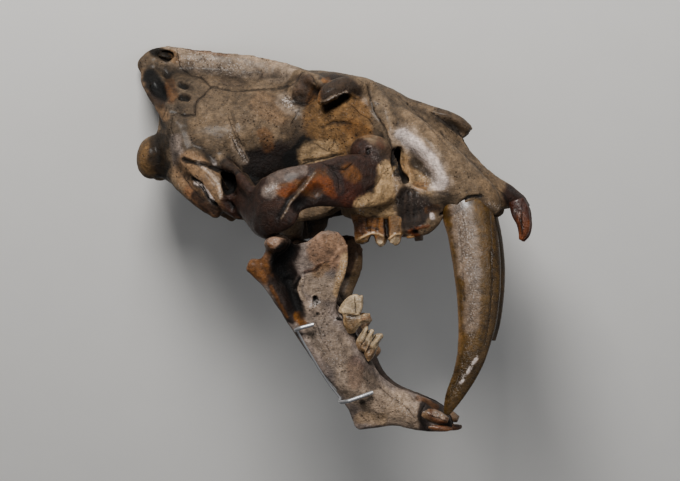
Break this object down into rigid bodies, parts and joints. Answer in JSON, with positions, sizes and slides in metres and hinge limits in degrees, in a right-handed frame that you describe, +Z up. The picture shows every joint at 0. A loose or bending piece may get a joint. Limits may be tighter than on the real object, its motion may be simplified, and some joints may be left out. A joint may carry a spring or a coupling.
{
  "type": "sabre-toothed cat skull",
  "caption": "Fossil skull of a sabre-toothed cat with its lower jaw wide open, lying on its side, to show as a natural history specimen.",
  "frame": {"origin": "middle of the foot of the bounding box, on the surface that the skull lies on", "axes": "+X from the back of the head to the front teeth, +Y from the jaws to the top of the head, +Z up; the skull lies on its left side"},
  "size_m": [0.292, 0.2438, 0.222],
  "materials": {
    "skull_bone": "dry fossil bone, tan to grey-brown with dark purple-brown and rust-orange stains, fine pores and cracks, glossy where it is worn smooth",
    "jaw_bone": "dry fossil bone, grey-pink tan with fine pores, orange-brown along its rear edge and dark in its muscle pit",
    "wire_steel": "dull grey wire",
    "sabre_enamel": "glossy ochre-brown fossil enamel with a paler scratched streak and long dark cracks",
    "front_enamel": "glossy reddish orange-brown worn enamel",
    "upper_cheek_enamel": "glossy golden brown enamel",
    "lower_cheek_enamel": "glossy cream to yellow-grey enamel"
  },
  "bodies": {
    "root": {"cranium": "skull_bone", "dentary_right": "jaw_bone", "dentary_left": "jaw_bone", "jaw_wire": "wire_steel", "upper_canine_right": "sabre_enamel", "upper_canine_left": "sabre_enamel", "upper_carnassial_right": "upper_cheek_enamel", "upper_carnassial_left": "upper_cheek_enamel", "upper_premolar_right": "upper_cheek_enamel", "upper_premolar_left": "upper_cheek_enamel", "upper_incisor_1_right": "front_enamel", "upper_incisor_1_left": "front_enamel", "upper_incisor_2_right": "front_enamel", "upper_incisor_2_left": "front_enamel", "upper_incisor_3_right": "front_enamel", "upper_incisor_3_left": "front_enamel", "lower_canine_right": "front_enamel", "lower_canine_left": "front_enamel", "lower_incisor_1_right": "front_enamel", "lower_incisor_1_left": "front_enamel", "lower_incisor_2_right": "front_enamel", "lower_incisor_2_left": "front_enamel", "lower_carnassial_right": "lower_cheek_enamel", "lower_carnassial_left": "lower_cheek_enamel", "lower_premolar_right": "lower_cheek_enamel", "lower_premolar_left": "lower_cheek_enamel"}
  },
  "joints": []
}
